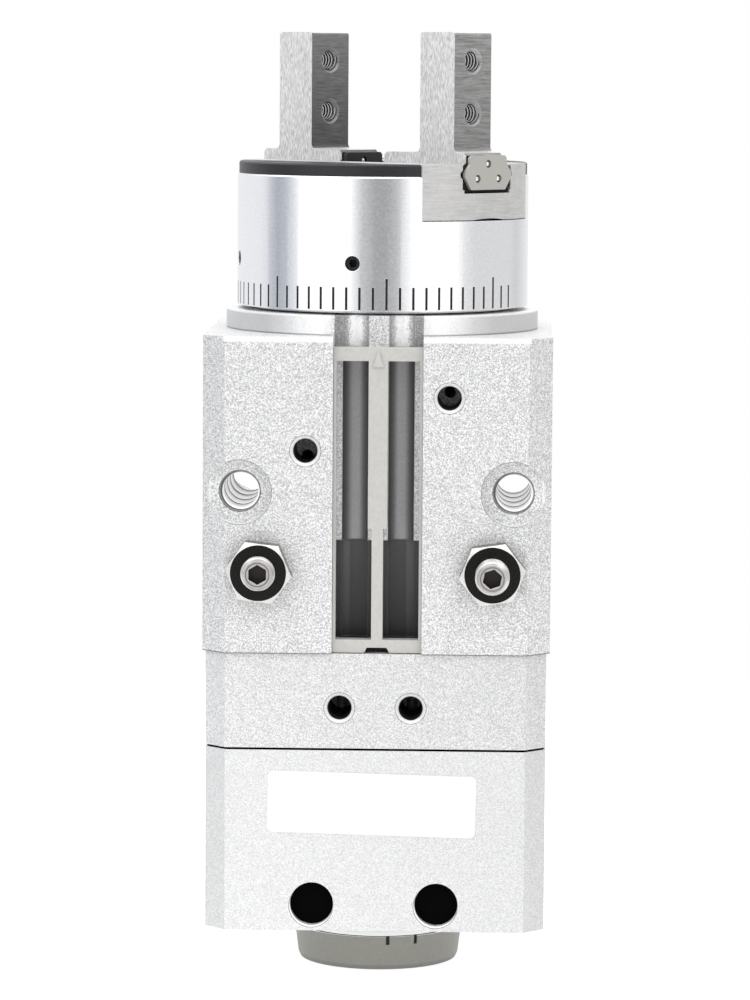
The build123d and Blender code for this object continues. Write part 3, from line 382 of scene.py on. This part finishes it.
def ground(name, sides, ends, ends_low, metallic=0.35, on_ends=0.45, on_sides=0.42, foot=None):
    """Ground steel: its grinding lines run up the v faces and across the u faces. Its levels are
    painted light and shade: one level on the v faces, one on the u faces that darkens towards the
    posts' foot, a painted highlight along the edges, and a painted shadow line under a given foot
    height.
    """
    g = Finish(name, edge=0.00012, turned=HEAD_TURN)
    on_u = g.over(g.size(g.nx), 0.6, 0.1)
    upright = g.stretched(g.place, (6500.0, 6500.0, 1000.0), 2.0, 0.6)
    across = g.stretched(g.place, (300.0, 260.0, 4200.0), 3.0, 0.6)
    lines = g.plus(g.times(across, on_u), g.times(upright, g.invert(on_u)))
    mottle = g.noise(g.place, 900.0, 3.0, 0.6)
    strength = g.line(on_u, 0.0, 1.0, on_sides, on_ends)
    tone = g.plus(1.0, g.times(strength, g.line(lines, 0.3, 0.7, -1.0, 0.6)))
    tone = g.times(tone, g.line(mottle, 0.3, 0.7, 0.95, 1.04))
    # painted shade on the u faces, darker towards the posts' foot
    shade = g.line(g.z, POST_FOOT, POST_TIP, ends_low, ends)
    level = g.plus(g.times(on_u, shade), g.times(g.invert(on_u), sides))
    colour = g.scaled((1.0, 0.99, 0.98, 1.0), g.times(level, tone))
    # painted highlight along edges
    lit = g.times(g.edges(), 0.75)
    # painted shadow along the foot of the piece
    if foot:
        under = g.both(g.under(g.z, foot + 0.00018, 0.00004), g.under(g.nz, 0.4, 0.1))
        colour = g.mix(under, colour, grey(0.03))
        lit = g.times(lit, g.invert(under))
    colour = g.mix(lit, colour, grey(0.95))
    normal = g.bump(lines, 0.00001, 0.25, g.round)
    return g.finish(colour, metallic, g.line(mottle, 0.3, 0.7, 0.42, 0.34), normal)


def nut_metal(name):
    """Nut with a painted dark reflection on its face, painted shade on its flats, and a painted
    highlight on the chamfer between them.
    """
    g = Finish(name, edge=0.0001)
    grain = g.noise(g.place, 2400.0, 2.0)
    rings = g.noise(g.place, 5200.0, 1.0)
    face = g.line(g.ny, -0.96, -0.985)
    # painted dark reflection on the face, painted shade on the flats
    flats = g.under(g.size(g.ny), 0.03, 0.02)
    level = g.plus(g.times(face, 0.022), g.times(g.invert(face), 0.66))
    level = g.times(level, g.dim(flats, 0.12))
    colour = g.scaled((1.0, 0.97, 0.93, 1.0), g.times(level, g.line(grain, 0.3, 0.7, 0.9, 1.08)))
    # painted highlight on the chamfer
    lit = g.both(g.edges(), g.invert(flats), g.invert(face), 0.6)
    return g.finish(g.mix(lit, colour, grey(0.9)), 0.8, g.line(rings, 0.3, 0.7, 0.2, 0.3),
                    g.bump(grain, 0.000006, 0.4, g.round))


def plain_metal(name, colour, rough, metallic=1.0, speck=0.08, shine=0.35):
    """Lightly mottled metal with a painted highlight along its edges."""
    g = Finish(name, edge=0.00008)
    grain = g.noise(g.place, 2400.0, 2.0)
    tone = g.line(grain, 0.3, 0.7, 1.0 - speck, 1.0 + speck)
    base = g.mix(g.times(g.edges(), shine), g.scaled(colour, tone), grey(0.85))
    return g.finish(base, metallic, g.line(grain, 0.3, 0.7, rough * 0.85, rough * 1.15),
                    g.bump(grain, 0.000006, 0.4, g.round))


def moulded(name, colour, rough, edge=0.0001, speck=0.04, shine=0.0, gloss=0.5):
    """Moulded plastic, rubber or film, with a painted highlight along its edges as strong as shine."""
    g = Finish(name, edge=edge)
    grain = g.noise(g.place, 1400.0, 3.0, 0.6)
    tone = g.line(grain, 0.3, 0.7, 1.0 - speck, 1.0 + speck)
    base = g.mix(g.times(g.edges(), shine), g.scaled(colour, tone), grey(0.85))
    return g.finish(base, 0.0, g.line(grain, 0.3, 0.7, rough - 0.06, rough + 0.06),
                    g.bump(grain, 0.00001, 0.4, g.round), **{"Specular IOR Level": gloss})


def knob_plastic(name):
    """Warm grey plastic with black index marks, a painted pale top face that also glows as painted
    light, and painted shade on its underside.
    """
    g = Finish(name, edge=0.0002)
    radius = g.radius()
    grain = g.noise(g.place, 1500.0, 3.0, 0.6)
    colour = g.scaled((0.26, 0.257, 0.228), g.line(grain, 0.3, 0.7, 0.95, 1.05))
    # painted shade on the underside
    under = g.both(g.line(g.nz, -0.15, -0.5), g.line(radius, 0.0120, 0.0135))
    colour = g.mix(under, colour, grey(0.17, 0.02))
    mark = g.both(g.under(radius, 0.01466, 0.00004), g.over(g.z, -0.0817, 0.00005),
                  g.over(radius, 0.0139, 0.0001))
    colour = g.mix(mark, colour, grey(0.002))
    # painted light: a pale, glowing top face
    painted_top = g.both(g.over(g.nz, 0.9, 0.05), g.over(radius, 0.00865, 0.00015), g.invert(mark))
    colour = g.mix(painted_top, colour, grey(0.85))
    return g.finish(colour, 0.0, 0.5, g.bump(grain, 0.00001, 0.4, g.round),
                    **{"Emission Color": grey(0.9), "Emission Strength": g.times(painted_top, 0.55)})


# Places that the finishes follow. The body's slot, grooves, pockets and boss:
rail_low, rail_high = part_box("switch_rail")
SLOT_X = (rail_low.x + rail_high.x) / 2
SLOT_HALF = 0.00766
SLOT_FRONT, SLOT_BACK = -0.029775, -0.0195
STRIP_FROM = 0.0061
GROOVE_X, GROOVE_HALF, GROOVE_LOW = 0.00395, 0.00225, -0.0085
POCKET_TOP = -0.00845
RAIL_TOP = 0.0248
BODY_LOW, BODY_TOP = -0.0277, 0.0267
BOSS_FACE, BOSS_TOP = 0.02715, 0.03015

# The ring's scale:
ring_low, ring_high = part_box("scale_ring")
RING_R, RING_LOW = ring_high.x, ring_low.z
FIRST_MARK, MARK_STEP = math.radians(49.85), math.radians(5.19)
MARKS_IN_SCALE, MARKS_PAST_END, MARKS_PER_LONG = 36, 2, 9
LONG_MARK_TOP, SHORT_MARK_TOP = 0.00565, 0.0041
MARK_HALF = 0.000215

# Foot and tip of the finger posts:
POST_FOOT, POST_TIP = 0.058, 0.077

# Bore mouths on the front: centre x and z, bore radius, chamfer or counterbore radius.
GRIP_MOUTHS = ((-0.0122, 0.0072, 0.0021, 0.0026), (0.0124, 0.0164, 0.0021, 0.0026))
MOUNT_MOUTHS = ((-0.0235, 0.0, 0.0034, 0.0055), (0.0235, 0.0, 0.0034, 0.0055))
MOUNT_MOUTH_Y = -0.0275
MIDDLE_MOUTHS = ((-0.00613, -0.0372, 0.0021, 0.0026), (0.00613, -0.0372, 0.0021, 0.0026))
# Plug holes: centre x and z, radius; and how far their lit lip stands off to the lower left.
PLUG_HOLES = ((-0.01075, -0.0714, 0.00375), (0.01075, -0.0714, 0.00375))
LIP_LEFT, LIP_DROP = 0.00010, 0.00030

materials = {
    "anodised_body": blasted("blasted_main", 0.77, 0.42, 0.88, True, GRIP_MOUTHS + MOUNT_MOUTHS),
    "anodised_ring": turned_ring("turned_ring"),
    "machined_aluminium": machined("machined_aluminium"),
    "ground_steel": ground("ground_left", 0.79, 0.21, 0.085),
    "shaft_steel": plain_metal("shaft_steel", (0.62, 0.61, 0.60), 0.28),
    "bearing_steel": plain_metal("bearing_steel", (0.70, 0.70, 0.70), 0.12),
    "screw_steel": plain_metal("screw_steel", (0.80, 0.79, 0.77), 0.2, 0.8),
    "black_screw": plain_metal("black_screw", (0.003, 0.003, 0.0035), 0.7, 0.0, 0.2, shine=0.0),
    "nut_steel": nut_metal("nut_steel"),
    "black_plate": plain_metal("black_plate", (0.019, 0.018, 0.022), 0.42, 0.3, 0.15),
    "stainless_plate": plain_metal("stainless_plate", (0.48, 0.465, 0.435), 0.35, 0.5, 0.03),
    "black_resin": moulded("black_resin", (0.006, 0.006, 0.006), 0.5, gloss=0.15),
    "rail_plastic": moulded("rail_plastic", (0.515, 0.505, 0.48), 0.5, 0.00016, 0.05, shine=0.75),
    "knob_plastic": knob_plastic("knob_plastic"),
    "black_rubber": moulded("black_rubber", (0.0015, 0.0015, 0.0015), 0.6, gloss=0.02),
    "magnet": plain_metal("magnet", (0.08, 0.08, 0.08), 0.5, 0.5),
    "label_film": moulded("label_film", (0.80, 0.80, 0.815), 0.35, 0.00015, speck=0.01),
}
# Painted light and shade differ per piece: each finger and the guide block has its own painted levels
# of ground steel, the left slider plate a near-black painted-shade copy of the stainless, and the
# middle and lower blocks painted shade growing towards +x.
own_look = {
    "middle_block": blasted("blasted_middle", 0.74, 0.29, 0.9, mouths=MIDDLE_MOUTHS, shade_rightward=0.94),
    "lower_block": blasted("blasted_lower", 0.755, 0.18, 0.85, plugs=PLUG_HOLES, shade_rightward=0.93),
    "finger_right": ground("ground_right", 0.79, 0.30, 0.26),
    "guide_block": ground("ground_guide", 0.57, 0.52, 0.52, 0.3, 0.16, 0.16,
                          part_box("guide_block")[0].z),
    "slider_plate_left": plain_metal("stainless_shaded", (0.03, 0.03, 0.03), 0.35, 0.5, 0.05),
}

for part in frame["record"]["subparts"]:
    piece = nodes[part["node"]].data
    piece.materials.clear()
    piece.materials.append(own_look.get(part["node"], materials[part["material_slot"]]))


# ---------------------------------------------------------------- detail pieces

def keep(name, shape, body, slot, look=None, flank=None, smooth=False):
    """Turns a bmesh into a piece that rides a CAD body."""
    for face in shape.faces:
        face.smooth = smooth
    mesh = bpy.data.meshes.new(name)
    shape.to_mesh(mesh)
    shape.free()
    mesh.materials.append(look or materials[slot])
    if flank:
        mesh.materials.append(flank)
    piece = bpy.data.objects.new(name, mesh)
    scene.collection.objects.link(piece)
    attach(piece, body)
    return piece


def cross_axes(axis):
    """Two directions square to an axis and to each other."""
    first = axis.cross(UP) if abs(axis.z) < 0.9 else Vector((1.0, 0.0, 0.0))
    first.normalize()
    return first, axis.cross(first)


# A thread ridge's half widths at foot and crest, in pitches, and its foot's radius over the bore's.
RIDGE_FOOT, RIDGE_CREST, RIDGE_SEAT = 0.45, 0.14, 1.002


def thread(shape, mouth, axis, bore, crest, pitch, length, segments):
    """Adds one helical ridge inside a hole, running inwards from its mouth."""
    side, other = cross_axes(axis)
    steps = int((length - pitch) / pitch * segments)
    rows = []
    for step in range(steps + 1):
        angle = 2 * math.pi * step / segments
        depth = pitch / 2 + pitch * step / segments
        out = side * math.cos(angle) + other * math.sin(angle)
        taper = min(1.0, step / segments * 2, (steps - step) / segments * 2)
        tip = bore - (bore - crest) * taper
        seat = bore * RIDGE_SEAT
        profile = ((-RIDGE_FOOT, seat), (-RIDGE_CREST, tip), (RIDGE_CREST, tip), (RIDGE_FOOT, seat))
        rows.append([shape.verts.new(mouth + axis * (depth + shift * pitch) + out * radius)
                     for shift, radius in profile])
    for near, far in zip(rows, rows[1:]):
        for index in range(3):
            face = shape.faces.new((near[index], near[index + 1], far[index + 1], far[index]))
            # crest faces take the first material and flanks the second, so crests can carry painted
            # light and flanks painted shade
            face.material_index = 0 if index == 1 else 1


def lit_thread(name, level, glow):
    """Thread metal at a given level, with a glow that stands in for light inside its bore."""
    g = Finish(name, edge=0.00005)
    grain = g.noise(g.place, 3000.0, 2.0)
    colour = g.scaled(grey(level), g.line(grain, 0.3, 0.7, 0.85, 1.1))
    return g.finish(colour, 0.5, 0.3, g.bump(grain, 0.000006, 0.4, g.round),
                    **{"Emission Color": colour, "Emission Strength": glow})


def banded_bore(name, mouth_y, spacing):
    """Bore metal with painted light: glowing bands that darken deeper into each band, split by thin
    painted shadow rings.
    """
    g = Finish(name, edge=0.00005)
    grain = g.noise(g.place, 3000.0, 2.0)
    step = g.math("FRACT", g.math("DIVIDE", g.minus(g.y, mouth_y), spacing))
    # painted shadow rings between the glowing bands
    dark = g.either(g.line(step, 0.20, 0.14), g.line(step, 0.97, 0.99))
    tone = g.times(g.line(grain, 0.3, 0.7, 0.9, 1.05), g.line(step, 0.2, 0.9, 0.95, 0.55))
    colour = g.mix(dark, g.scaled(grey(0.85), tone), grey(0.06))
    return g.finish(colour, 0.3, 0.35, g.bump(grain, 0.000006, 0.4, g.round),
                    **{"Emission Color": colour, "Emission Strength": 0.55})


# Painted light in the bores: glowing bright crests on the finger threads, near-black painted shade on
# their flanks and on the ports' threads, and glowing banded bore metal in the mounting holes.
steel_thread = lit_thread("steel_thread", 0.8, 0.38)
steel_root = lit_thread("steel_root", 0.03, 0.0)
body_thread = banded_bore("body_thread", MOUNT_MOUTH_Y, 0.0078)
port_crest = lit_thread("port_crest", 0.03, 0.0)

# Threads: radius of the bore and of the crest, pitch.
M4_JAW = (0.00165, 0.00148, 0.0007)
M5_PORT = (0.0021, 0.0019, 0.0008)
M8_MOUNT = (0.0034, 0.0031, 0.00125)
# How far the fingers' outer faces stand out, the drop of their holes from the tip, and each length.
POST_OUTER_U, POST_DROPS, POST_THREAD_L = 0.0214, (0.005, 0.014), 0.0081
MOUNT_THREAD_L = 0.034
GRIP_MOUTH_Y, GRIP_THREAD_L = -0.0295, 0.0090
MIDDLE_MOUTH_Y, MIDDLE_THREAD_L = -0.0289, 0.0135

finger_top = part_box("finger_right")[1].z
for side_name, sign in (("right", 1), ("left", -1)):
    shape = bmesh.new()
    for drop in POST_DROPS:
        mouth = U * sign * POST_OUTER_U + UP * (finger_top - drop)
        thread(shape, mouth, U * -sign, *M4_JAW, POST_THREAD_L, 32)
    keep("finger_threads_" + side_name, shape, "finger_" + side_name, "ground_steel",
         steel_thread, steel_root)

shape = bmesh.new()
for x, z, *_ in MOUNT_MOUTHS:
    thread(shape, Vector((x, MOUNT_MOUTH_Y, z)), -FRONT, *M8_MOUNT, MOUNT_THREAD_L, 48)
keep("mounting_threads", shape, "housing", "anodised_body", body_thread, body_thread)

shape = bmesh.new()
for mouths, mouth_y, length in ((GRIP_MOUTHS, GRIP_MOUTH_Y, GRIP_THREAD_L),
                                (MIDDLE_MOUTHS, MIDDLE_MOUTH_Y, MIDDLE_THREAD_L)):
    for x, z, *_ in mouths:
        thread(shape, Vector((x, mouth_y, z)), -FRONT, *M5_PORT, length, 32)
keep("port_threads", shape, "housing", "anodised_body", port_crest, steel_root)


def socket_dark(name, centre):
    """Bright screw metal with a painted highlight along its edges, a darker ring on its end face, and
    painted shade inside the hexagon socket.
    """
    g = Finish(name, edge=0.00006)
    grain = g.noise(g.place, 2400.0, 2.0)
    reach = g.reach(centre.x, centre.z)
    # painted shade inside the hexagon socket
    inside = g.both(g.over(g.y, centre.y + 0.0004, 0.0002), g.under(reach, 0.0018, 0.00002))
    turned = g.both(g.line(g.ny, -0.9, -0.97), g.invert(inside), g.between(reach, 0.0019, 0.00208))
    tone = g.times(g.line(grain, 0.3, 0.7, 0.92, 1.06), g.dim(turned, 0.35))
    colour = g.mix(g.times(g.edges(), 0.6), g.scaled((0.62, 0.60, 0.58), tone), grey(0.9))
    colour = g.mix(inside, colour, (0.05, 0.036, 0.030, 1.0))
    return g.finish(colour, g.line(inside, 0.0, 1.0, 0.7, 0.1), 0.25,
                    g.bump(grain, 0.000006, 0.4, g.round))


# The adjusting screws' thread, hexagon socket and end chamfer.
SCREW_PITCH, SCREW_THREAD_H, SCREW_THREAD_END = 0.00075, 0.0004, 0.016
SOCKET_HALF, SOCKET_DEPTH, SOCKET_EDGE = 0.0015, 0.0030, 0.00006
SCREW_CHAMFER = 0.0007


def threaded_screw(name, clocking):
    """An adjusting screw with a rolled thread, a turned end and a hexagon socket."""
    low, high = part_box(name)
    centre = Vector(((low.x + high.x) / 2, low.y, (low.z + high.z) / 2))
    radius = (high.x - low.x) / 2
    length = high.y - low.y
    root, count = radius - SCREW_THREAD_H, 64
    right = Vector((1.0, 0.0, 0.0))
    shape = bmesh.new()

    def ring(radii, depth):
        points = []
        for index in range(count):
            angle = 2 * math.pi * index / count
            out = right * math.cos(angle) + UP * math.sin(angle)
            points.append(shape.verts.new(centre - FRONT * depth + out * radii(angle)))
        return points

    def plain(value):
        return lambda angle: value

    def hexagon(wider):
        def at(angle):
            sector = (angle - clocking + math.pi / 6) % (math.pi / 3) - math.pi / 6
            return SOCKET_HALF / math.cos(sector) + wider
        return at

    def threaded(depth):
        def at(angle):
            phase = (depth / SCREW_PITCH - angle / (2 * math.pi)) % 1.0
            ridge = min(1.0, max(0.0, 1.45 - 2.9 * abs(phase - 0.5)))
            run_in = max(0.0, min(1.0, (depth - SCREW_CHAMFER) / SCREW_PITCH))
            return root + (radius - root) * ridge * run_in
        return at

    rings = [ring(hexagon(0.0), SOCKET_DEPTH), ring(hexagon(0.0), 0.00005),
             ring(hexagon(SOCKET_EDGE), 0.0), ring(plain(root - 0.0002), 0.0),
             ring(plain(root), 0.0004)]
    depth = SCREW_CHAMFER
    while depth < SCREW_THREAD_END:
        rings.append(ring(threaded(depth), depth))
        depth += SCREW_PITCH / 8
    rings.append(ring(plain(radius), depth))
    rings.append(ring(plain(radius), length - SCREW_CHAMFER))
    rings.append(ring(plain(radius - SCREW_CHAMFER), length))
    for near, far in zip(rings, rings[1:]):
        for index in range(count):
            after = (index + 1) % count
            shape.faces.new((near[index], far[index], far[after], near[after]))
    shape.faces.new(rings[0])
    shape.faces.new(list(reversed(rings[-1])))
    bmesh.ops.recalc_face_normals(shape, faces=shape.faces)
    look = socket_dark(name + "_metal", centre)
    piece = keep(name + "_threaded", shape, name, "screw_steel", look)
    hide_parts(name)


threaded_screw("adjust_screw_left", 0.0)
threaded_screw("adjust_screw_right", math.radians(49.0))


def dome(shape, centre, axis, radius, height, rings=6, segments=24):
    """Adds a low round rivet head standing on a plane."""
    side, other = cross_axes(axis)
    turns = [2 * math.pi * index / segments for index in range(segments)]
    rows = []
    for level in range(rings):
        lift = math.pi / 2 * level / rings
        middle, reach = centre + axis * height * math.sin(lift), radius * math.cos(lift)
        rows.append([shape.verts.new(middle + (side * math.cos(turn) + other * math.sin(turn)) * reach)
                     for turn in turns])
    for near, far in zip(rows, rows[1:]):
        for index in range(segments):
            after = (index + 1) % segments
            shape.faces.new((near[index], near[after], far[after], far[index]))
    top = shape.verts.new(centre + axis * height)
    for index in range(segments):
        shape.faces.new((rows[-1][index], rows[-1][(index + 1) % segments], top))


# Rivets of the slider plates: v and z of each, their size, and how deep their seat lies.
RIVETS = ((0.0, 0.05605), (-0.00265, 0.0535), (0.00265, 0.0535))
RIVET_R, RIVET_H, RIVET_SUNK = 0.00052, 0.00055, 0.0006
PLATE_FACES = (("right", 0.0253), ("left", -0.0047))
for side_name, outer_u in PLATE_FACES:
    shape = bmesh.new()
    for v, z in RIVETS:
        dome(shape, U * (outer_u - RIVET_SUNK) + V * v + UP * z, U, RIVET_R, RIVET_H)
    keep("plate_rivets_" + side_name, shape, "finger_" + side_name, "screw_steel", smooth=True)

# ---------------------------------------------------------------- stage

FLOOR_R = 0.36
floor_mesh = bpy.data.meshes.new("floor")
shape = bmesh.new()
bmesh.ops.create_circle(shape, cap_ends=True, segments=96, radius=FLOOR_R)
shape.to_mesh(floor_mesh)
shape.free()
floor = bpy.data.objects.new("floor", floor_mesh)
floor.location = (0.0, 0.0, cad_low.z)
scene.collection.objects.link(floor)
g = Graph(bpy.data.materials.new("floor_white"))
shader = g.add("BsdfPrincipled", {"Base Color": grey(0.3), "Roughness": 0.9,
                                  "Emission Color": grey(1.0), "Emission Strength": 0.85})
g.add("OutputMaterial", {"Surface": shader.outputs[0]})
floor_mesh.materials.append(g.owner)

# ---------------------------------------------------------------- light

world = bpy.data.worlds.new("studio")
scene.world = world
g = Graph(world)
way = g.add("TexCoord").outputs["Generated"]
wx, wy, wz = g.split(way)
turn = g.line(g.math("ARCTAN2", wx, g.times(wy, -1.0)), -math.pi, math.pi)
ramp = g.add("ValToRGB", {"Fac": turn})
# The studio's walls: azimuth in degrees from the front, and their light.
WALLS = ((-180, 0.90, 0.90, 0.92), (-106, 0.88, 0.88, 0.91), (-99, 0.62, 0.64, 0.68),
         (-91, 0.37, 0.40, 0.46), (-80, 0.52, 0.55, 0.60), (-71, 0.85, 0.87, 0.90),
         (-66, 1.25, 1.25, 1.25), (-24, 1.25, 1.25, 1.25), (-20, 0.85, 0.85, 0.86),
         (-15, 0.58, 0.58, 0.59), (-6, 0.39, 0.39, 0.40), (6, 0.37, 0.37, 0.38),
         (13, 0.52, 0.52, 0.53), (19, 0.85, 0.85, 0.85), (25, 1.25, 1.25, 1.25),
         (61, 1.25, 1.25, 1.25), (67, 0.88, 0.88, 0.88), (76, 0.72, 0.72, 0.72),
         (124, 0.74, 0.74, 0.74), (132, 0.64, 0.64, 0.64), (150, 0.80, 0.80, 0.80),
         (180, 0.95, 0.95, 0.95))
BRIGHTEST, CEILING = 1.25, 2.1
while len(ramp.color_ramp.elements) < len(WALLS):
    ramp.color_ramp.elements.new(0.5)
for stop, (degrees, red, green, blue) in zip(ramp.color_ramp.elements, WALLS):
    stop.position = (degrees + 180) / 360
    stop.color = (red / BRIGHTEST, green / BRIGHTEST, blue / BRIGHTEST, 1.0)
walls = g.scaled(ramp.outputs[0], BRIGHTEST)
around = g.mix(g.ease(wz, 0.35, 0.85), walls, grey(CEILING))
seen = g.add("LightPath").outputs["Is Camera Ray"]
background = g.add("Background", {"Color": g.mix(seen, around, grey(1.0)), "Strength": 1.0})
g.add("OutputWorld", {"Surface": background.outputs[0]})

# ---------------------------------------------------------------- camera

DISTANCE = 0.770
TARGET_X, TARGET_Z = -0.00107, -0.00415
PITCH, YAW, ROLL = math.radians(5.8), math.radians(-1.65), math.radians(0.38)
SENSOR = 36.0
FOCAL_PIXELS = 4326.23
FRAME_HEIGHT = 1000.0


def turned_back(x, y, z):
    """A direction or point from the camera's yawed frame into the shared frame."""
    return Vector((x * math.cos(YAW) + y * math.sin(YAW),
                   -x * math.sin(YAW) + y * math.cos(YAW), z))


level = turned_back(1.0, 0.0, 0.0)
above = turned_back(0.0, math.sin(PITCH), math.cos(PITCH))
right = level * math.cos(ROLL) + above * math.sin(ROLL)
upward = above * math.cos(ROLL) - level * math.sin(ROLL)
backward = right.cross(upward)
eye = turned_back(TARGET_X, -DISTANCE * math.cos(PITCH), TARGET_Z + DISTANCE * math.sin(PITCH))
lens = bpy.data.cameras.new("camera")
lens.sensor_width = SENSOR
lens.lens = FOCAL_PIXELS / FRAME_HEIGHT * SENSOR
lens.clip_start = 0.01
lens.clip_end = 20.0
camera = bpy.data.objects.new("camera", lens)
camera.matrix_world = Matrix((
    (right.x, upward.x, backward.x, eye.x),
    (right.y, upward.y, backward.y, eye.y),
    (right.z, upward.z, backward.z, eye.z),
    (0.0, 0.0, 0.0, 1.0)))
scene.collection.objects.link(camera)
scene.camera = camera
scene.view_settings.view_transform = "Standard"
